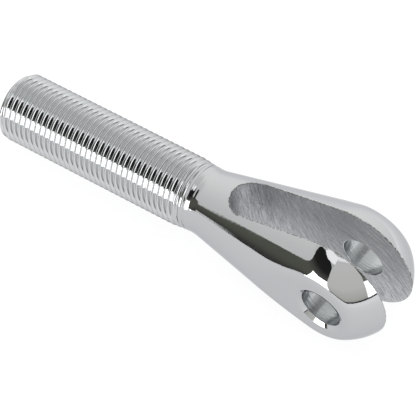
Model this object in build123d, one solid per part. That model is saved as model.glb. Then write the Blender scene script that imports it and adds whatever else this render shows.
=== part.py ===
from build123d import *
import os
from math import cos, radians, sin, tan

# Clevis rod end: one solid piece of steel with a threaded shank and a forked head.
#
# The blank is turned in one go: a chamfered shank at the thread's crest diameter, a
# neck as wide as the thread's pitch diameter, a taper that swells into the head and a
# ball end.  Two flats are then milled on the head, square to the pin, and their closed
# edges are rolled over.  A slot with a round bottom splits the head into two ears, and
# one bore takes the pin through both.
#
# The origin is the centre of the pin bore.  The shank lies along -X, the fork opens
# towards +X, the pin's axis is Y, and the slot is open above (+Z) and below.

INCH = 25.4

# Shank.  The thread is 5/8-18 UNF, and the solid carries its crest cylinder.
thread_major_d = 15.7
thread_pitch_d = 14.96
thread_length = 49.0
end_chamfer = 1.1
runout_length = 0.8

# Neck and turned head
neck_land = 1.3
neck_blend_r = 20.0
taper_half_angle = 11.6
head_d = 1.125 * INCH
ball_setback = 1.15

# Flats on the outer sides of the ears
flat_width = 0.875 * INCH
flat_blend_r = 3.5

# Fork, for a 3/8 inch tab and a 3/8 inch pin
tab_thickness = 0.370 * INCH
tab_clearance = 0.005 * INCH
slot_reach = 28.8
pin_d = 0.375 * INCH
pin_clearance = 0.2
bore_edge_r = 0.55

# Stations of the turned profile, worked out from the ball back to the shank's end
taper = radians(taper_half_angle)
head_r = head_d / 2
neck_r = thread_pitch_d / 2
crest_r = thread_major_d / 2
ball_x = -ball_setback
tip_x = ball_x + head_r
taper_end = (ball_x - head_r * sin(taper), head_r * cos(taper))
corner_x = taper_end[0] - (taper_end[1] - neck_r) / tan(taper)
blend_length = neck_blend_r * tan(taper / 2)
blend_start = (corner_x - blend_length, neck_r)
runout_end = (blend_start[0] - neck_land, neck_r)
thread_end = (runout_end[0] - runout_length, crest_r)
shank_end_x = thread_end[0] - thread_length

slot_width = tab_thickness + tab_clearance
bore_d = pin_d + pin_clearance


def turned_blank():
    """Revolve the shank, neck, taper and ball end about the X axis."""
    shank = Polyline(
        (tip_x, 0),
        (shank_end_x, 0),
        (shank_end_x, crest_r - end_chamfer),
        (shank_end_x + end_chamfer, crest_r),
        thread_end,
        runout_end,
        blend_start,
    )
    neck = JernArc(blend_start, (1, 0), neck_blend_r, taper_half_angle)
    cone = Line(neck @ 1, taper_end)
    ball = JernArc(taper_end, cone % 1, head_r, -taper_half_angle - 90)
    profile = make_face(Plane.XZ * (shank + neck + cone + ball))
    return revolve(profile, Axis.X)


def flatten(blank):
    """Mill both sides of the head flat and roll over the closed edge of each flat."""
    head_length = tip_x - runout_end[0]
    side = Box(head_length, head_r, head_d, align=(Align.MIN, Align.MIN, Align.CENTER))
    side = Pos(runout_end[0], flat_width / 2, 0) * side
    milled = blank - side - mirror(side, Plane.XZ)
    flats = milled.faces().filter_by(Axis.Y)
    return fillet(flats.edges(), flat_blend_r)


def slot_cutter():
    """The slot's plan, round at the bottom, carried through the head along Z."""
    end_x = slot_width / 2 - slot_reach
    plan = Pos(end_x, 0) * Circle(slot_width / 2)
    plan += Pos(end_x, 0) * Rectangle(tip_x - end_x, slot_width, align=(Align.MIN, Align.CENTER))
    return extrude(plan, head_d, both=True)


def bore_pin(fork):
    """Drill the pin bore through both ears and round its two outer edges."""
    drill = extrude(Plane.XZ * Circle(bore_d / 2), flat_width, both=True)
    bored = fork - drill
    outer_faces = bored.faces().filter_by(Axis.Y)
    outer_faces = outer_faces.sort_by(Axis.Y)[:1] + outer_faces.sort_by(Axis.Y)[-1:]
    rims = outer_faces.edges().filter_by(GeomType.CIRCLE)
    rims = rims.filter_by(lambda edge: abs(edge.radius - bore_d / 2) < 0.001)
    return fillet(rims, bore_edge_r)


clevis_rod_end = bore_pin(flatten(turned_blank()) - slot_cutter())
clevis_rod_end.label = "clevis_rod_end"

os.makedirs("parts", exist_ok=True)
export_step(clevis_rod_end, "parts/clevis_rod_end.step")
print(f"shank end {shank_end_x:.2f}, thread end {thread_end[0]:.2f}, tip {tip_x:.2f}")
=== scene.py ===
# %% [markdown]
# # A chrome-plated clevis rod end
# A clevis rod end is screwed onto a control rod, and its fork takes a tab that a pin holds.
# The real one is a single bar: turned on a lathe, thread-rolled, milled, drilled, polished and
# plated.  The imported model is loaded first.  It is the fixed frame, and its box is the limit that
# the visible skin has to stay inside.

import bmesh
import bpy
import numpy as np
from mathutils import Matrix, Vector


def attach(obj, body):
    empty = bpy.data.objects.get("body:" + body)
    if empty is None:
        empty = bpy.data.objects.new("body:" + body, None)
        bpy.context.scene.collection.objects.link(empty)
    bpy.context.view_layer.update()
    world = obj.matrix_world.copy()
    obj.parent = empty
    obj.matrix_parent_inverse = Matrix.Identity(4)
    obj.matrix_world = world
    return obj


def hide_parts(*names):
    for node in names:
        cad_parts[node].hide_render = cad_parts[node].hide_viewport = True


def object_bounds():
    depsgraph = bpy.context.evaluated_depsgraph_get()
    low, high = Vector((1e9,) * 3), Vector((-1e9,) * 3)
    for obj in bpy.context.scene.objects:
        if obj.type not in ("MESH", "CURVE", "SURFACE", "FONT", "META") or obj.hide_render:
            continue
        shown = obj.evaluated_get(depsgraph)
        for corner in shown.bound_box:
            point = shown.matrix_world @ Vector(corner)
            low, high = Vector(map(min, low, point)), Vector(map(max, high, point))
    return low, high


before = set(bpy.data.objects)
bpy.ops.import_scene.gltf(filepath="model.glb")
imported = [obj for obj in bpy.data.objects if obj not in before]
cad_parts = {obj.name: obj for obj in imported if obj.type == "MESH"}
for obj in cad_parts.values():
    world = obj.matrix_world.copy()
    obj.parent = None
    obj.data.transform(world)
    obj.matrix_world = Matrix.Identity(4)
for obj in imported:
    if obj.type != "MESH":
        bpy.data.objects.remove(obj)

cad_low, cad_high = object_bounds()
print("CAD box in mm", [round(v * 1000, 2) for v in (*cad_low, *cad_high)])

# %% [markdown]
# ## The turned profile
# On the lathe the head starts as a solid of revolution: a neck, a large blend, a cone, and a ball
# at the end.  A surface of revolution needs only its radius at each place along the axis, so that
# one function is the master shape here, and every later surface asks it where the metal is.
# Everything is worked out in millimetres, and only the finished mesh is in metres.

# %% Driving sizes, in millimetres
MM = 0.001
inch = 25.4
shank_end_x = max(-3.5 * inch, cad_low[0] / MM)
end_chamfer = 1.1
crest_r = 15.7 / 2
neck_r = 14.96 / 2
neck_blend_r = 7.0
taper = np.radians(11.6)
head_r = 1.125 * inch / 2
ball_x = -1.15
flat_y = 0.875 * inch / 2
slot_half = 0.375 * inch / 2
slot_reach = 28.8
bore_r = (0.375 * inch + 0.2) / 2
bore_chamfer = 0.88
chamfer_shallow = 0.3
chamfer_deep = 0.78

# %% Turned radius and its slope
cone_x = ball_x - head_r * np.sin(taper)
cone_r = head_r * np.cos(taper)
corner_x = cone_x - (cone_r - neck_r) / np.tan(taper)
blend_x = corner_x - neck_blend_r * np.tan(taper / 2)
blend_end_x = blend_x + neck_blend_r * np.sin(taper)
tool_mark_x = -36.9
tool_mark_half = 0.4
tool_mark_depth = 0.055


def turned_radius(x):
    """The radius of the turned blank: a cylinder, then a circular arc, then a cone, then a ball.
    Just before the arc starts, the tool left a faint mark, which is a Gaussian dip."""
    arc = np.clip(x - blend_x, 0, blend_end_x - blend_x)
    mark = tool_mark_depth * np.exp(-(((x - tool_mark_x) / tool_mark_half) ** 2))
    neck = neck_r + neck_blend_r - np.sqrt(neck_blend_r**2 - arc**2) - mark
    cone = cone_r + np.tan(taper) * (x - cone_x)
    ball = np.sqrt(np.clip(head_r**2 - (x - ball_x) ** 2, 0, None))
    return np.where(x > cone_x, ball, np.where(x > blend_end_x, cone, neck))


def turned_slope(x):
    """How fast that radius grows with x, on the cone and on the ball."""
    ball = -(x - ball_x) / np.maximum(turned_radius(x), 1e-6)
    return np.where(x > cone_x, ball, np.tan(taper))


print("ball meets cone at x", round(cone_x, 3), "and neck ends at x", round(blend_x, 3))

# %% [markdown]
# ## The head's skin
# Two flats are milled on the sides of the turned head, and polishing rolls their edges over.  A
# section through the head is therefore a circle cut by two straight sides with soft corners.  A
# superellipse-like rule says that in one line: the circle's term and the flat's term are each
# raised to a high power and added, and the power sets how soft the corner is.

# %% Section of the flattened head
corner_power = 46.4
halvings = 45


def section_radius(x, angle):
    """Distance from the axis at x, at an angle measured from the top.

    (1 / turned radius)^p plus (|sin angle| / half the width over the flats)^p, to the power -1/p.
    """
    round_term = (1 / turned_radius(x)) ** corner_power
    flat_term = (np.abs(np.sin(angle)) / flat_y) ** corner_power
    return (round_term + flat_term) ** (-1 / corner_power)


def skin_point(x, angle):
    """Points on the skin, as x, sideways distance from the middle plane, and height."""
    radius = section_radius(x, angle)
    return np.stack([x + 0 * angle, radius * np.sin(angle), radius * np.cos(angle)], -1)


def ear_side(x, z):
    """Sideways distance of an ear's outer skin at x and z, found by halving an interval."""
    r = turned_radius(x)
    low = np.zeros_like(x)
    high = np.sqrt(np.clip(r**2 - z**2, 0, None))
    for _ in range(halvings):
        middle = (low + high) / 2
        round_term = ((middle**2 + z**2) / r**2) ** (corner_power / 2)
        inside = round_term + (middle / flat_y) ** corner_power < 1
        low = np.where(inside, middle, low)
        high = np.where(inside, high, middle)
    return (low + high) / 2


print("half width over the flats at the bore", ear_side(np.array([0.0]), np.array([0.0])))

# %% [markdown]
# ## The edge of the slot
# The slot is open above, below and in front, and it ends in a half circle.  Its edge on one ear is
# one long path: round half of the end, straight along the top, round the tip, and back along the
# bottom.  Three copies of the path lie close together: the sharp edge itself, a copy on the skin
# and a copy on the slot's wall.  A curve from one copy to the other, pulled to the sharp edge,
# gives the small rounding that deburring leaves.

# %% The slot's edge on one ear
edge_on_skin = 0.18
edge_on_wall = 0.14
ear_x = -9.0
slot_centre_x = slot_half - slot_reach
slot_round_steps = 18
side_steps = 34
tip_steps = 152
half_ring = 56
around = 2 * half_ring


def edge_start(side):
    """The top edge where a vertical wall at this sideways distance meets the turned blank."""
    turn = np.linspace(0, np.pi / 2, slot_round_steps + 1)
    along = np.linspace(slot_centre_x, ear_x, side_steps + 1)[1:]
    x = np.concatenate([slot_centre_x - side * np.cos(turn), along])
    y = np.concatenate([side * np.sin(turn), np.full(side_steps, side)])
    return np.stack([x, y, np.sqrt(turned_radius(x) ** 2 - y**2)], -1)


def edge_tip(side):
    """The same edge round the tip, by angle round the ball's centre: the ball's circle, and the
    straight-sided cone's curve beyond it, which is the root of a quadratic."""
    corner_z = np.sqrt(turned_radius(np.array(ear_x)) ** 2 - side**2)
    corner = np.arctan2(corner_z, ear_x - ball_x)
    turn = np.linspace(corner, -corner, tip_steps + 1)
    rise = np.tan(taper)
    ball_line = cone_r + rise * (ball_x - cone_x)
    a = np.sin(turn) ** 2 - (rise * np.cos(turn)) ** 2
    b = ball_line * rise * np.cos(turn)
    on_cone = (b + np.sqrt(b**2 + a * (ball_line**2 - side**2))) / a
    on_ball = np.sqrt(head_r**2 - side**2)
    r = np.where(np.abs(turn) > np.pi / 2 + taper, on_cone, on_ball)
    x = ball_x + r * np.cos(turn)
    z = r * np.sin(turn)
    return np.stack([x, np.full_like(x, side), z], -1)


def whole_edge(start, tip):
    """Top, tip and bottom joined: the bottom is the top with its height turned over."""
    bottom = start[::-1] * [1, 1, -1]
    return np.concatenate([start, tip[1:-1], bottom])


sharp_start, sharp_tip = edge_start(slot_half), edge_tip(slot_half)
skin_start, skin_tip = edge_start(slot_half + edge_on_skin), edge_tip(slot_half + edge_on_skin)


def sink(edge):
    """The edge's copy on the slot's wall: moved square to the edge, towards the foot of the
    surface's normal on the axis, and straight down round the end of the slot."""
    foot = edge[:, 0] + turned_radius(edge[:, 0]) * turned_slope(edge[:, 0])
    inward = np.stack([foot - edge[:, 0], 0 * foot, -edge[:, 2]], -1)
    at_end = edge[:, 1] < slot_half - 1e-9
    inward[at_end, 0] = 0
    inward /= np.linalg.norm(inward, axis=1)[:, None]
    return edge + edge_on_wall * inward


wall_start, wall_tip = sink(sharp_start), sink(sharp_tip)
print("edge points on one ear", len(whole_edge(sharp_start, sharp_tip)))

# %% [markdown]
# ## Sheets that meet
# Each surface is a sheet: a grid of points with a row and a column number.  Sheets that meet use
# the same points along their common border, so that one weld at the end makes a closed solid.
# With each point goes its place on the flattened surface in millimetres, along and across the way
# that the tool went, which the materials read as a UV map.

# %% Collect the sheets
POLISHED, MILLED, DRILLED, DEBURRED = range(4)
sheets = []


def grid_quads(rows, columns):
    """The numbers of the four corners of every face, in a grid that is numbered row by row."""
    number = np.arange(rows * columns).reshape(rows, columns)
    corners = [number[:-1, :-1], number[1:, :-1], number[1:, 1:], number[:-1, 1:]]
    return np.stack(corners, -1).reshape(-1, 4)


def add_sheet(points, flat, finish):
    """Keeps a grid of points (rows, columns, 3) with its flattened places and its finish."""
    quads = grid_quads(*points.shape[:2])
    sheets.append((points.reshape(-1, 3), quads, flat.reshape(-1, 2), finish))


def add_both_halves(points, flat, finish):
    """The near half has its sideways distance along -Y, and the far half is its mirror image."""
    add_sheet(points * [1, -1, 1], flat, finish)
    add_sheet(points[:, ::-1], flat[:, ::-1], finish)


# %% [markdown]
# ## Neck, taper and the sides of the slot
# A half of the skin is laid out in rows that go round it from the top edge to the bottom edge.
# In front of the slot the edge is only the middle line, and the halves meet there.  Where the
# rows reach the round end of the slot they lean forward, so that no face there is a sliver.

# %% Half of the skin up to the ear's round part
thread_end_x = -37.6
fine_end_x = -35.9
fine_steps = 16
neck_steps = 28
lean = 3.5
close_up = 0.55

fine_x = np.linspace(thread_end_x, fine_end_x, fine_steps + 1)[:-1]
coarse_x = np.linspace(fine_end_x, skin_start[0, 0], neck_steps - fine_steps + 1)[:-1]
neck_x = np.concatenate([fine_x, coarse_x])
edge_x = np.concatenate([neck_x, skin_start[:, 0]])
edge_y = np.concatenate([0 * neck_x, skin_start[:, 1]])
edge_angle = np.arcsin(edge_y / turned_radius(edge_x))
row = np.arange(len(edge_x))
ease = np.clip((row - fine_steps) / (neck_steps - fine_steps), 0, 1) ** 1.5
behind = np.interp(row, [neck_steps, row[-1]], [edge_x[neck_steps] - lean, ear_x])
middle_x = np.where(row < neck_steps, edge_x - lean * ease, behind)
share = np.linspace(0, 1, half_ring + 1)
from_edge = 1 - (1 - 2 * np.minimum(share, 1 - share)) ** 4
closeness = close_up * np.clip(row / neck_steps, 0, 1) ** 2
spread = share - closeness[:, None] * np.sin(2 * np.pi * share) / (2 * np.pi)
half_x = edge_x[:, None] + (middle_x - edge_x)[:, None] * from_edge
half_angle = edge_angle[:, None] + spread * (np.pi - 2 * edge_angle)[:, None]
half_skin = skin_point(half_x, half_angle)
half_flat = np.stack([half_x, half_angle * crest_r], -1)
add_both_halves(half_skin, half_flat, POLISHED)
print("skin rows", len(row), "columns", half_ring)

# %% [markdown]
# ## The ears
# Seen from the side, an ear is a rounded plate with a hole.  The grid there runs from the outline
# to the hole's rim on spokes round the bore's axis, so the rim and the outline are both clean
# rings of points.  The outer skin and the slot's wall use the same kind of grid.

# %% Spokes from an outline to the bore's rim
rings = 18
wall_rings = 12
ring_crowding = 0.6


def ring_shares(count):
    """Shares of the way from the outline to the rim, closer together at both ends."""
    even = np.linspace(0, 1, count + 1)
    return even - ring_crowding * np.sin(2 * np.pi * even) / (2 * np.pi)


def spokes(tip, back_row, rim_r, count):
    """x and z on spokes from the outline (the tip and the row behind it) to a circle."""
    outline = np.concatenate([tip, back_row[::-1][1:]])[:, [0, 2]]
    angle = np.unwrap(np.arctan2(outline[:, 1], outline[:, 0]))
    rim = rim_r * np.stack([np.cos(angle), np.sin(angle)], -1)
    step = ring_shares(count)[:, None, None]
    return outline + (rim - outline) * step, angle


ear_grid, skin_turn = spokes(skin_tip, half_skin[-1], bore_r + bore_chamfer, rings)
ear_y = ear_side(ear_grid[..., 0], ear_grid[..., 1])
ear_skin = np.stack([ear_grid[..., 0], ear_y, ear_grid[..., 1]], -1)
add_both_halves(ear_skin, ear_grid, POLISHED)
print("ear grid", ear_skin.shape[:2], "widest", round(2 * ear_y.max(), 3), "mm")

# %% [markdown]
# ## The slot's walls
# An end mill on a vertical axis cut the slot, so the walls are straight up and down, and the end
# is half of a cylinder.  The milled finish starts at the wall's copy of the edge.

# %% Walls, and the rounding between wall and skin
edge_bands = 4
bore_break = 0.22
wall_share = np.linspace(0, 1, half_ring + 1)
wall_height = 1 - 2 * wall_share
wall_rows = np.stack(
    [
        wall_start[:, None, 0] + 0 * wall_share,
        wall_start[:, None, 1] + 0 * wall_share,
        wall_start[:, None, 2] * wall_height,
    ],
    -1,
)
path = np.concatenate([[0], np.cumsum(np.hypot(*np.diff(wall_start[:, :2], axis=0).T))])
wall_flat = np.stack([path[:, None] + 0 * wall_share, wall_rows[..., 2]], -1)
add_both_halves(wall_rows, wall_flat, MILLED)

wall_grid, wall_turn = spokes(wall_tip, wall_rows[-1], bore_r + bore_break, wall_rings)
wall_ear = np.stack([wall_grid[..., 0], 0 * wall_grid[..., 0] + slot_half, wall_grid[..., 1]], -1)
ear_flat = np.stack([path[-1] + wall_grid[..., 0] - ear_x, wall_grid[..., 1]], -1)
add_both_halves(wall_ear, ear_flat, MILLED)

on_skin = whole_edge(skin_start, skin_tip)
on_edge = whole_edge(sharp_start, sharp_tip)
on_wall = whole_edge(wall_start, wall_tip)
bend = np.linspace(0, 1, edge_bands + 1)[:, None, None]
edge_strip = (1 - bend) ** 2 * on_skin + 2 * bend * (1 - bend) * on_edge + bend**2 * on_wall
strip_flat = edge_strip[..., [0, 2]]
add_both_halves(edge_strip, strip_flat, DEBURRED)
print("wall length along the slot", round(path[-1] + head_r - ear_x, 1), "mm")

# %% [markdown]
# ## The bores
# Each ear is drilled through for the pin.  Outside, the rim has a flat chamfer, and inside the
# slot only a touch of deburring breaks the edge.  The surface is a profile carried round the
# bore's axis: radius and depth are functions of one parameter, and the turn is the other.  The
# chamfer was cut by hand, so it goes deeper on one side.  Narrow bands next to its two corners
# keep them crisp.

# %% Rim, bore and inner edge
deep_turn = np.radians(222)
rim_way = np.array([0, 0.05, 0.35, 0.65, 0.95, 1])
bore_share = np.array([0, 0.015, 0.2, 0.4, 0.6, 0.8, 0.985, 1])[:, None]
bore_starts = 0.1
bore_ends = 0.9
inner_steps = 3
rim_radius = bore_r + bore_chamfer * (1 - rim_way)
leaning_share = (1 + np.cos(skin_turn - deep_turn)) / 2
rim_sink = chamfer_shallow + (chamfer_deep - chamfer_shallow) * leaning_share
rim_depth = flat_y - rim_sink * rim_way[:, None]
inner_bend = np.linspace(0, 1, inner_steps + 1)
inner_radius = bore_r + bore_break * inner_bend**2
inner_depth = slot_half + bore_break * (1 - inner_bend) ** 2
bore_depth = rim_depth[-1] + (inner_depth[0] - rim_depth[-1]) * bore_share


def carried_round(radius, depth, first, last):
    """A profile of radius and depth carried round the bore, on spokes that shift evenly from the
    skin's spokes to the wall's between the shares first and last of the way.  The depth may change
    with the turn."""
    way = np.linspace(first, last, len(radius))[:, None]
    turn = skin_turn + (wall_turn - skin_turn) * way
    x = radius[:, None] * np.cos(turn)
    z = radius[:, None] * np.sin(turn)
    depth = depth + 0 * turn
    return np.stack([x, depth, z], -1), np.stack([depth, bore_r * turn], -1)


bore_radius = np.full(len(bore_share), bore_r)
add_both_halves(*carried_round(rim_radius, rim_depth, 0, bore_starts), POLISHED)
add_both_halves(*carried_round(bore_radius, bore_depth, bore_starts, bore_ends), DRILLED)
add_both_halves(*carried_round(inner_radius, inner_depth[:, None], bore_ends, 1), POLISHED)
print("bore depth in one ear", round(flat_y - slot_half, 3), "mm")

# %% [markdown]
# ## The rolled thread
# The thread is 5/8-18 UNF, right-handed.  Rolling presses the grooves into a blank of the pitch
# diameter, and the metal rises into the crests.  At the inner end the rolls leave a groove that
# fades away.  The grid is sheared, so that each line of it follows the helix, and lines of points
# lie close together round each corner of the profile.  More lines are wanted where the groove
# fades, and those fan out from one of these lines over their first turn, so that no gap is left.
# Points past either end are moved back onto it, and the faces that this closes up vanish in the
# weld.

# %% Thread profile
pitch = inch / 18
thread_phase = 0.944
thread_depth = 0.588 * pitch
root_r = crest_r - thread_depth
crest_half = 0.052 * pitch
flank_rise = 1 / np.tan(np.radians(30))
corner_soft = 0.09
crest_lift = 0.01
end_soft = 0.04
relief_end = 0.4
fade_start_x = -42.0
crest_end_x = -38.3
root_places = (-41.2, -39.2, -38.6, -37.7)
root_depths = (crest_r - root_r, 0.60, 0.58, 0.37)
end_r = crest_r - end_chamfer


def soft_min(a, b, soft):
    """The lesser of two values, with a rounded corner of about this size."""
    return (a + b - np.sqrt((a - b) ** 2 + soft**2)) / 2


def thread_radius(x, turn):
    """Crest, straight 60 degree flanks and root, by place along the helix.  At the inner end the
    crests sink to the turned blank first and the grooves run out after them, and a 45 degree
    cone cuts the outer end."""
    place = (x / pitch - turn / (2 * np.pi) - thread_phase + 0.5) % 1 - 0.5
    flank = crest_r + (crest_half - np.abs(place) * pitch) * flank_rise
    crest = np.interp(x, (fade_start_x, crest_end_x), (crest_r, neck_r))
    root = crest_r - np.interp(x, root_places, root_depths)
    profile = soft_min(crest + crest_lift, flank, corner_soft)
    profile = -soft_min(-profile, -root, corner_soft)
    relief = (profile - neck_r) * np.clip((thread_end_x - x) / relief_end, 0, 1)
    cone = end_r + (x - shank_end_x)
    return soft_min(turned_radius(x) + relief, cone, end_soft)


# %% Thread on its sheared grid
half_places = np.array([0.025, 0.06, 0.105, 0.325, 0.365, 0.41])
places = np.concatenate([[0], half_places, [0.5], 1 - half_places[::-1]])
first_turn = np.floor(shank_end_x / pitch - thread_phase) - 1
last_turn = np.ceil(thread_end_x / pitch - thread_phase)
turns = np.arange(first_turn, last_turn + 1)
lines = (turns[:, None] + places).ravel()
fading_turns = turns[-5:]
extra_half = np.array([0.16, 0.215, 0.27])
extra_lines = fading_turns[:, None] + np.concatenate([extra_half, 1 - extra_half[::-1]])
fan_from = half_places[2]
fan_out = extra_lines.copy()
fan_out[0] = fading_turns[0] + np.repeat([fan_from, 1 - fan_from], len(extra_half))
line_start = np.sort(np.concatenate([lines, fan_out.ravel()]))
line_end = np.sort(np.concatenate([lines, extra_lines.ravel()]))
turn = np.linspace(0, 2 * np.pi, around + 1)
place = line_start[:, None] + (1 + line_end - line_start)[:, None] * turn / (2 * np.pi)
thread_x = np.clip((place + thread_phase) * pitch, shank_end_x, thread_end_x)
thread_turn = turn + 0 * thread_x
thread_r = thread_radius(thread_x, thread_turn)
thread = np.stack([thread_x, thread_r * np.cos(thread_turn), thread_r * np.sin(thread_turn)], -1)
add_sheet(thread, np.stack([thread_x, thread_turn * crest_r], -1), POLISHED)
print("thread lines", len(line_end), "turns", len(turns), "depth", round(thread_depth, 3), "mm")

# %% [markdown]
# ## The shank's end face
# The bar was faced off square.  The face is rings that shrink to a point in the middle.

# %% End face
face_rings = 6
face_share = np.linspace(1, 0, face_rings + 1)[:, None]
face_r = thread_radius(np.full_like(turn, shank_end_x), turn) * face_share
face = np.stack([0 * face_r + shank_end_x, face_r * np.cos(turn), face_r * np.sin(turn)], -1)
add_sheet(face, np.stack([face_r, turn * crest_r + 0 * face_r], -1), POLISHED)

# %% [markdown]
# ## One closed skin
# All sheets go into one mesh.  The weld joins points that are in the same place, which closes
# every border, seam and pole, and then the faces are turned to point outwards.  A closed mesh has
# no edge with other than two faces, and that is counted and printed.

# %% Weld the sheets into one mesh
starts = np.cumsum([0] + [len(s[0]) for s in sheets])
all_points = np.concatenate([s[0] for s in sheets]) * MM
all_quads = np.concatenate([s[1] + start for s, start in zip(sheets, starts)])
all_flat = np.concatenate([s[2] for s in sheets])
all_finish = np.concatenate([np.full(len(s[1]), s[3]) for s in sheets])

mesh = bpy.data.meshes.new("rod_end_skin")
mesh.from_pydata(all_points.tolist(), [], all_quads.tolist())
mesh.polygons.foreach_set("material_index", all_finish.astype(np.int32))
layer = mesh.uv_layers.new(name="tool_way")
layer.data.foreach_set("uv", all_flat[all_quads.ravel()].astype(np.float32).ravel())

weld_distance = 0.002 * MM
sliver_width = 0.0001 * MM
solid = bmesh.new()
solid.from_mesh(mesh)
bmesh.ops.remove_doubles(solid, verts=solid.verts, dist=weld_distance)
bmesh.ops.dissolve_degenerate(solid, edges=solid.edges, dist=sliver_width)
bmesh.ops.recalc_face_normals(solid, faces=solid.faces)
open_edges = sum(not e.is_manifold for e in solid.edges)
triangles = sum(len(f.verts) - 2 for f in solid.faces)
volume = round(solid.calc_volume() / MM**3, 1)
print("open edges", open_edges, "triangles", triangles, "volume mm3", volume)
solid.to_mesh(mesh)
solid.free()
mesh.polygons.foreach_set("use_smooth", np.ones(len(mesh.polygons), bool))
rod_end = bpy.data.objects.new("rod_end_skin", mesh)
bpy.context.scene.collection.objects.link(rod_end)

# %% [markdown]
# ## Materials
# One small function adds any node with its settings and links, and another turns a written sRGB
# colour into the linear numbers that Blender wants.  The rest are short cuts built on those two:
# a range, a blend, an empty material, and the metal that every finish of this part ends in.

# %% Colour and node helpers
def linear(code):
    """An sRGB hex colour as linear red, green, blue and full alpha."""
    value = np.array([int(code[i : i + 2], 16) for i in (1, 3, 5)]) / 255
    low = value / 12.92
    high = ((value + 0.055) / 1.055) ** 2.4
    return (*np.where(value <= 0.04045, low, high), 1.0)


def add(tree, kind, inputs=None, **settings):
    """Adds a node.  Settings are its own properties; inputs are numbers, colours or sockets."""
    node = tree.nodes.new(kind)
    for name, value in settings.items():
        setattr(node, name, value)
    for name, value in (inputs or {}).items():
        if isinstance(value, bpy.types.NodeSocket):
            tree.links.new(value, node.inputs[name])
        else:
            node.inputs[name].default_value = value
    return node


def share_of(tree, value, from_range, to_range):
    """Maps one range of a value onto another, held at both ends."""
    settings = {"Value": value, "From Min": from_range[0], "From Max": from_range[1]}
    settings |= {"To Min": to_range[0], "To Max": to_range[1]}
    return add(tree, "ShaderNodeMapRange", settings).outputs["Result"]


def blend(tree, share, first, second):
    """A colour between two hex colours, by a share from 0 to 1."""
    mix = add(tree, "ShaderNodeMix", {0: share}, data_type="RGBA")
    mix.inputs[6].default_value = linear(first)
    mix.inputs[7].default_value = linear(second)
    return mix.outputs[2]


def new_material(name):
    """An empty node material and its tree."""
    material = bpy.data.materials.new(name)
    material.use_nodes = True
    material.node_tree.nodes.clear()
    return material, material.node_tree


def rough_metal(tree, colour, roughness, height, relief, more=None):
    """Ends a material in bare metal, whose bumps are this many millimetres from low to high."""
    settings = {"Height": height, "Strength": 1.0, "Distance": relief * MM}
    bump = add(tree, "ShaderNodeBump", settings).outputs["Normal"]
    look = {"Base Color": colour, "Metallic": 1.0, "Roughness": roughness, "Normal": bump}
    metal = add(tree, "ShaderNodeBsdfPrincipled", look | (more or {}))
    add(tree, "ShaderNodeOutputMaterial", {"Surface": metal.outputs["BSDF"]})


# %% [markdown]
# ### Polished decorative chrome
# The bar is polished on a belt and a mop, nickel plated, and flashed with chrome.  The eye sees a
# slightly blue mirror.  Plating follows the polished steel, so the mirror has a faint waviness
# about half a millimetre across, which makes the edges of reflections tremble.

# %% Chrome
chrome, tree = new_material("polished_chrome_plate")
place = add(tree, "ShaderNodeTexCoord").outputs["Object"]
wave_size = 0.5
wave_height = 0.0026
haze_size = 4.0
ripple = add(
    tree, "ShaderNodeTexNoise", {"Vector": place, "Scale": 1 / (wave_size * MM), "Detail": 2.0}
)
swell = add(
    tree, "ShaderNodeTexNoise", {"Vector": place, "Scale": 1 / (haze_size * MM), "Detail": 1.0}
)
haze = share_of(tree, swell.outputs["Fac"], (0.3, 0.7), (0.03, 0.06))

# Chromium plates thinly inside a groove, so the nickel under it shows on the thread's flanks.  The
# mop can't reach into the thread either, so it shines less there at a glancing angle.
parts = add(tree, "ShaderNodeSeparateXYZ", {"Vector": place})
across = add(tree, "ShaderNodeVectorMath", {0: place, 1: (0.0, 1.0, 1.0)}, operation="MULTIPLY")
from_axis = add(tree, "ShaderNodeVectorMath", {0: across.outputs[0]}, operation="LENGTH")
groove_depth = 0.19
plating_fade = 3
groove_range = ((crest_r - groove_depth) * MM, crest_r * MM)
thread_range = (fade_start_x * MM, (fade_start_x + plating_fade) * MM)
depth_in_groove = share_of(tree, from_axis.outputs["Value"], groove_range, (1.0, 0.0))
on_thread = share_of(tree, parts.outputs["X"], thread_range, (1.0, 0.0))
groove = add(tree, "ShaderNodeMath", {0: depth_in_groove, 1: on_thread}, operation="MULTIPLY")
plate = blend(tree, groove.outputs[0], "#BBBCBE", "#CFD1D2")
glance = blend(tree, on_thread, "#E2E2E4", "#646466")
rough_metal(tree, plate, haze, ripple.outputs["Fac"], wave_height, {"Specular Tint": glance})

# %% [markdown]
# ### Milled slot walls
# The walls keep the end mill's marks under the plating: scallops a few tenths of a millimetre
# apart, upright where the cutter stood still to turn and leaning further on.  Between the ears a
# sanding wheel has crossed them with long arcs.  The eye sees a grey satin metal with fine light
# and dark lines and a faint grain.

# %% Milled steel
milled, tree = new_material("milled_steel_under_plate")
way = add(tree, "ShaderNodeUVMap", uv_map="tool_way").outputs["UV"]
parts = add(tree, "ShaderNodeSeparateXYZ", {"Vector": way})
round_length = path[slot_round_steps]
ear_start = path[-1]
lean_length = 11
sanding_length = 8
mill_lines_per_mm = 3.6
sand_lines_per_mm = 3.8
grain_per_mm = 1.8
mark_height = 0.035
lean_range = (round_length, round_length + lean_length)
lean_share = share_of(tree, parts.outputs["X"], lean_range, (0.05, 0.6))
leaning = add(
    tree,
    "ShaderNodeMath",
    {0: parts.outputs["Y"], 1: lean_share, 2: parts.outputs["X"]},
    operation="MULTIPLY_ADD",
)
wheel_centre = (ear_start - 1.6, -16.1, 0.0)
wheel = add(tree, "ShaderNodeVectorMath", {0: way, 1: wheel_centre}, operation="DISTANCE")
stretch = add(tree, "ShaderNodeMath", {0: parts.outputs["Y"], 1: 0.07}, operation="MULTIPLY")


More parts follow.
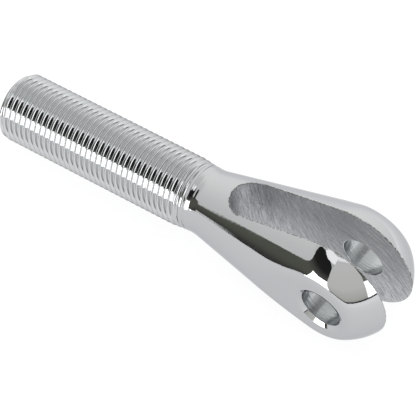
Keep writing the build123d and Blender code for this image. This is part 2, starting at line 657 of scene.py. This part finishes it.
def tool_lines(across, lines_per_mm):
    """Noise that is long along the tool's way and short across it."""
    place = add(tree, "ShaderNodeCombineXYZ", {"X": across, "Y": stretch.outputs[0]})
    settings = {"Vector": place.outputs["Vector"], "Scale": lines_per_mm}
    settings |= {"Detail": 5.0, "Roughness": 0.7}
    return add(tree, "ShaderNodeTexNoise", settings).outputs["Fac"]


sanding_range = (ear_start - 1, ear_start - 1 + sanding_length)
sanded = share_of(tree, parts.outputs["X"], sanding_range, (0.0, 1.0))
mill_lines = tool_lines(leaning.outputs[0], mill_lines_per_mm)
sand_lines = tool_lines(wheel.outputs["Value"], sand_lines_per_mm)
tool_mix = add(tree, "ShaderNodeMix", {0: sanded, 2: mill_lines, 3: sand_lines})
marks = tool_mix.outputs[0]
grain = add(tree, "ShaderNodeTexNoise", {"Vector": way, "Scale": grain_per_mm, "Detail": 4.0})
tone = share_of(tree, marks, (0.33, 0.63), (0.0, 1.0))
cloudy = share_of(tree, grain.outputs["Fac"], (0.35, 0.65), (-0.16, 0.16))
tone = add(tree, "ShaderNodeMath", {0: tone, 1: cloudy}, operation="ADD", use_clamp=True)
colour = blend(tree, tone.outputs[0], "#84868B", "#D6D7D9")
satin = share_of(tree, grain.outputs["Fac"], (0.3, 0.7), (0.42, 0.56))
rough_metal(tree, colour, satin, marks, mark_height)

# %% [markdown]
# ### Drilled bores
# The drill leaves rings round the bore, and the plating is thin there.

# %% Drilled steel
drilled, tree = new_material("drilled_steel_under_plate")
way = add(tree, "ShaderNodeUVMap", uv_map="tool_way")
parts = add(tree, "ShaderNodeSeparateXYZ", {"Vector": way.outputs["UV"]})
slow = add(tree, "ShaderNodeMath", {0: parts.outputs["Y"], 1: 0.06}, operation="MULTIPLY")
along = add(tree, "ShaderNodeCombineXYZ", {"X": parts.outputs["X"], "Y": slow.outputs[0]})
rings_per_mm = 2.4
ring_height = 0.04
settings = {"Vector": along.outputs["Vector"], "Scale": rings_per_mm, "Detail": 3.0}
ring_marks = add(tree, "ShaderNodeTexNoise", settings).outputs["Fac"]
shine = share_of(tree, ring_marks, (0.3, 0.7), (0.14, 0.26))
rough_metal(tree, linear("#B6B9BB"), shine, ring_marks, ring_height)

# %% [markdown]
# ### Deburred edges of the slot
# A scraper broke the slot's sharp edges before polishing.  It left a narrow ragged bevel with
# nicks a few tenths of a millimetre long, whose low spots are darker brown grey: painted shade.

# %% Deburred edge
deburred, tree = new_material("deburred_slot_edge")
place = add(tree, "ShaderNodeTexCoord").outputs["Object"]
nick_size = 0.5
nick_depth = 0.05
settings = {"Vector": place, "Scale": 1 / (nick_size * MM), "Detail": 3.0}
nicks = add(tree, "ShaderNodeTexNoise", settings).outputs["Fac"]
# The nicks' low spots get the darker colour: painted shade in the nicks.
out_of_nick_shade = share_of(tree, nicks, (0.40, 0.60), (0.0, 1.0))
rough_metal(tree, blend(tree, out_of_nick_shade, "#5C5850", "#C2C3C4"), 0.22, nicks, nick_depth)

for material in (chrome, milled, drilled, deburred):
    mesh.materials.append(material)

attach(rod_end, "root")
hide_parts("clevis_rod_end")

# %% [markdown]
# ## Floor
# The rod end lies on a table.  Its ears are wider than its shank, so it touches at the bottom of
# both ears and at the lower edge of the shank's end, and the floor is tilted a little against the
# part's own axes.

# %% Floor under the part's three points of contact
contact_front = np.array([ball_x, -np.sqrt(head_r**2 - slot_half**2)])
contact_back = np.array([shank_end_x + end_chamfer, -crest_r])
tilt = np.arctan2(contact_back[1] - contact_front[1], contact_front[0] - contact_back[0])
up = np.array([np.sin(tilt), 0, np.cos(tilt)])
level = contact_front[0] * up[0] + contact_front[1] * up[2]
print("floor tilt", round(np.degrees(tilt), 2), "degrees")

floor_r = 600.0
floor_rings = 13
floor_spokes = 65
rotate = np.array(Matrix.Rotation(tilt, 3, "Y"))


def studio_object(name, points, quads):
    """An object of the studio, from points whose height is counted from the level floor."""
    placed = points.reshape(-1, 3) @ rotate.T + up * level
    studio_mesh = bpy.data.meshes.new(name)
    studio_mesh.from_pydata((placed * MM).tolist(), [], quads.tolist())
    thing = bpy.data.objects.new(name, studio_mesh)
    bpy.context.scene.collection.objects.link(thing)
    return thing


ring_r = np.linspace(0, floor_r, floor_rings)[:, None]
floor_turn = np.linspace(0, 2 * np.pi, floor_spokes)
floor_x = ring_r * np.cos(floor_turn)
floor_y = ring_r * np.sin(floor_turn)
floor_points = np.stack([floor_x, floor_y, 0 * floor_x], -1)
floor = studio_object("floor", floor_points, grid_quads(floor_rings, floor_spokes))

paper, tree = new_material("white_table_paper")
rays = add(tree, "ShaderNodeLightPath").outputs
seen = rays["Is Camera Ray"]
for kind in ("Is Glossy Ray", "Is Transmission Ray"):
    seen = add(tree, "ShaderNodeMath", {0: seen, 1: rays[kind]}, operation="MAXIMUM").outputs[0]
matte = add(tree, "ShaderNodeBsdfDiffuse", {"Color": linear("#E6E6E6")})
shaded = add(tree, "ShaderNodeBsdfDiffuse", {"Color": linear("#747474")})

# Painted light and shade: the paper's glow is weaker near the part, a painted shade round it,
# and grows further out, most of all behind the part and to its right, a painted pool of light.
painted_light_side = (0.85, 0.53, 0.0)
side_gain = 0.13
even_gain = 0.15
glow_at_part = 0.89
place = add(tree, "ShaderNodeTexCoord").outputs["Object"]
far_out = add(tree, "ShaderNodeVectorMath", {0: place}, operation="LENGTH")
outward = add(tree, "ShaderNodeVectorMath", {0: place}, operation="NORMALIZE")
towards = add(
    tree,
    "ShaderNodeVectorMath",
    {0: outward.outputs[0], 1: painted_light_side},
    operation="DOT_PRODUCT",
)
gain = add(
    tree,
    "ShaderNodeMath",
    {0: towards.outputs["Value"], 1: side_gain, 2: even_gain},
    operation="MULTIPLY_ADD",
)
reach = share_of(tree, far_out.outputs["Value"], (20 * MM, 170 * MM), (0.0, 1.0))
glow_strength = add(
    tree,
    "ShaderNodeMath",
    {0: gain.outputs[0], 1: reach, 2: glow_at_part},
    operation="MULTIPLY_ADD",
)
glow = add(
    tree,
    "ShaderNodeEmission",
    {"Color": linear("#FEFEFF"), "Strength": glow_strength.outputs[0]},
)
lit = add(tree, "ShaderNodeAddShader", {0: shaded.outputs[0], 1: glow.outputs[0]})
mixed = add(tree, "ShaderNodeMixShader", {0: seen, 1: matte.outputs[0], 2: lit.outputs[0]})
add(tree, "ShaderNodeOutputMaterial", {"Surface": mixed.outputs[0]})
floor.data.materials.append(paper)

# %% [markdown]
# ## Studio
# Chrome shows the room, so the room is most of the look.  A white tent gives the even light, and
# cards and soft boxes stand round the table on a large sphere.  The camera doesn't see them.

# %% Tent, a little brighter at the left and behind, and darker overhead
def direction(azimuth, elevation):
    """The direction to a place at this azimuth and elevation, in degrees.  Azimuth 0 is in
    front, towards -Y, and 90 is towards +X."""
    a = np.radians(azimuth)
    e = np.radians(elevation) + 0 * a
    return np.stack([np.sin(a) * np.cos(e), -np.cos(a) * np.cos(e), np.sin(e)], -1)


world = bpy.data.worlds.new("white_tent")
bpy.context.scene.world = world
world.use_nodes = True
tree = world.node_tree
tree.nodes.clear()
way = add(tree, "ShaderNodeTexCoord").outputs["Generated"]
lamp_side = tuple(direction(-150, 12))
nearness = add(tree, "ShaderNodeVectorMath", {0: way, 1: lamp_side}, operation="DOT_PRODUCT")
clipped = add(tree, "ShaderNodeMath", {0: nearness.outputs["Value"], 1: 0.0}, operation="MAXIMUM")
curved = add(tree, "ShaderNodeMath", {0: clipped.outputs[0], 1: 1.3}, operation="POWER")
tent_light = add(
    tree, "ShaderNodeMath", {0: curved.outputs[0], 1: 0.35, 2: 0.91}, operation="MULTIPLY_ADD"
)
height = add(tree, "ShaderNodeSeparateXYZ", {"Vector": way})
ceiling = share_of(tree, height.outputs["Z"], (0.68, 0.84), (1.0, 0.84))
strength = add(
    tree, "ShaderNodeMath", {0: tent_light.outputs[0], 1: ceiling}, operation="MULTIPLY"
)
tent = add(
    tree, "ShaderNodeBackground", {"Color": linear("#FFFFFD"), "Strength": strength.outputs[0]}
)
add(tree, "ShaderNodeOutputWorld", {"Surface": tent.outputs[0]})

# %% A card or soft box
card_distance = 2500.0
card_columns = 25
card_rows = 41
overhead_elevation = 90


def studio_card(name, outline, shades, strength=1.0, nearer=0.0):
    """A piece of a large sphere that shines with a colour that changes with height.

    The outline is rows of elevation, left azimuth and right azimuth in degrees, from the bottom
    up.  The shades are pairs of elevation and colour, and a card that is nearer by some
    millimetres stands in front of its neighbours.
    """
    rows = np.array(outline, float)
    elevation = np.linspace(rows[0, 0], rows[-1, 0], card_rows)
    left = np.interp(elevation, rows[:, 0], rows[:, 1])
    right = np.interp(elevation, rows[:, 0], rows[:, 2])
    azimuth = left + (right - left) * np.linspace(0, 1, card_columns)[:, None]
    points = (card_distance - nearer) * direction(azimuth, elevation)
    card = studio_object(name, points, grid_quads(card_columns, card_rows))
    card.visible_camera = False
    height = card.data.attributes.new("height", "FLOAT", "POINT")
    height_share = (elevation + 0 * azimuth) / overhead_elevation
    height.data.foreach_set("value", height_share.astype(np.float32).ravel())
    material, tree = new_material(name)
    where = add(tree, "ShaderNodeAttribute", attribute_name="height")
    ramp = add(tree, "ShaderNodeValToRGB", {"Fac": where.outputs["Fac"]})
    stops = ramp.color_ramp.elements
    while len(stops) < len(shades):
        stops.new(0.5)
    for stop, (stop_elevation, code) in zip(stops, shades):
        stop.position = stop_elevation / overhead_elevation
        stop.color = linear(code)
    shade = add(tree, "ShaderNodeEmission", {"Color": ramp.outputs["Color"], "Strength": strength})
    add(tree, "ShaderNodeOutputMaterial", {"Surface": shade.outputs[0]})
    card.data.materials.append(material)


# %% Cards and soft boxes round the table
# The grey and dark cards are no lamps, yet they glow: that glow is painted light, and its change
# with height paints how the lamps light them.
black_outline = [
    (29, -54, 0),
    (33, -52.5, 0),
    (37, -53, 0),
    (42, -60, 0),
    (46, -68, -1),
    (51, -78, -2),
    (55, -79, -4),
    (58, -72, -9),
    (61, -58, -18),
]
olive_outline = [
    (-3, -45.5, -45),
    (1, -47, -44),
    (3, -47.5, -33),
    (4, -48, -33),
    (5, -58, -33),
    (14, -57.5, -33),
    (17.5, -54.5, -33),
    (23.5, -57.5, -33),
    (29, -54.5, -33),
]
black_shades = [(29, "#626059"), (34, "#5A5955"), (38, "#474745"), (43, "#2C2C2B"), (61, "#262626")]
olive_shades = [(0, "#3C3C3A"), (4, "#4A4A47"), (10, "#5E5F57"), (15, "#66675E"), (27, "#67685F")]
grey_shades = [(1.5, "#CDCCC6"), (8, "#DDDCD6"), (15, "#E4E3DE"), (24, "#F0EFEA"), (66, "#F4F4F0")]
side_shades = [(29.5, "#85867F"), (45, "#6A6A66"), (62, "#5C5C5A")]
# The dark band at the horizon stands for the shadow at the table's edge: painted shade.
horizon_shade_outline = [(-4.2, 4, 62), (-2.6, 0, 68), (-2.4, 0, 90), (1.5, 0, 90)]
horizon_shade_colours = [(0, "#3A3A3A"), (90, "#3A3A3A")]
right_outline = [(4, 103, 128), (30, 110, 143), (48, 122, 147), (56, 132, 146)]
right_shades = [(4, "#E8E8E8"), (22, "#D2D2D2"), (34, "#A2A2A2"), (52, "#9A9A9A")]
white = [(0, "#FFFFFF"), (90, "#FFFFFF")]

studio_card("grey_card", [(1.5, 0, 69), (70, 0, 72)], grey_shades)
studio_card("front_soft_box", [(0, -36, 0), (29, -36, 0)], white, 3.6)
studio_card("front_black_card", black_outline, black_shades, nearer=10)
studio_card("left_dark_card", olive_outline, olive_shades, nearer=5)
studio_card("side_soft_box", [(1.5, 67.5, 98), (29.5, 68.5, 98)], white, 2.6)
studio_card("side_dark_card", [(29.5, 70, 98), (62, 74, 98)], side_shades)
# A dark glowing band on the horizon: painted shade under the table's edge.
studio_card("painted_horizon_shade", horizon_shade_outline, horizon_shade_colours, nearer=20)
studio_card("right_grey_card", right_outline, right_shades)
studio_card("overhead_light", [(61, -62, 0), (76, -90, 0)], white, 1.54)
studio_card("overhead_bounce", [(70, 0, 90), (78, 0, 90)], white, 1.42)

# %% [markdown]
# ## Camera
# A long lens from above and to the right, turned a little about its own line of sight.

# %% Camera
camera_distance = 573.997
stand_azimuth = 40.273
stand_elevation = 52.771
facing_azimuth = 44.633
facing_elevation = 50.994
camera_roll = -10.4
lens_length = 240.095
sensor_width = 36
camera_place = camera_distance * direction(stand_azimuth, stand_elevation)
backward = direction(facing_azimuth, facing_elevation)
right = np.cross(-backward, [0, 0, 1])
right /= np.linalg.norm(right)
above = np.cross(right, -backward)
roll = np.radians(camera_roll)
right, above = (
    np.cos(roll) * right + np.sin(roll) * above,
    np.cos(roll) * above - np.sin(roll) * right,
)
camera = bpy.data.objects.new("camera", bpy.data.cameras.new("camera"))
bpy.context.scene.collection.objects.link(camera)
camera.data.sensor_width = sensor_width
camera.data.lens = lens_length
camera.data.clip_start = 0.01
camera.data.clip_end = 20
turned = Matrix([list(v) for v in np.stack([right, above, backward], 1)]).to_4x4()
camera.matrix_world = Matrix.Translation(Vector(camera_place * MM)) @ turned
bpy.context.scene.camera = camera
bpy.context.scene.view_settings.view_transform = "Standard"
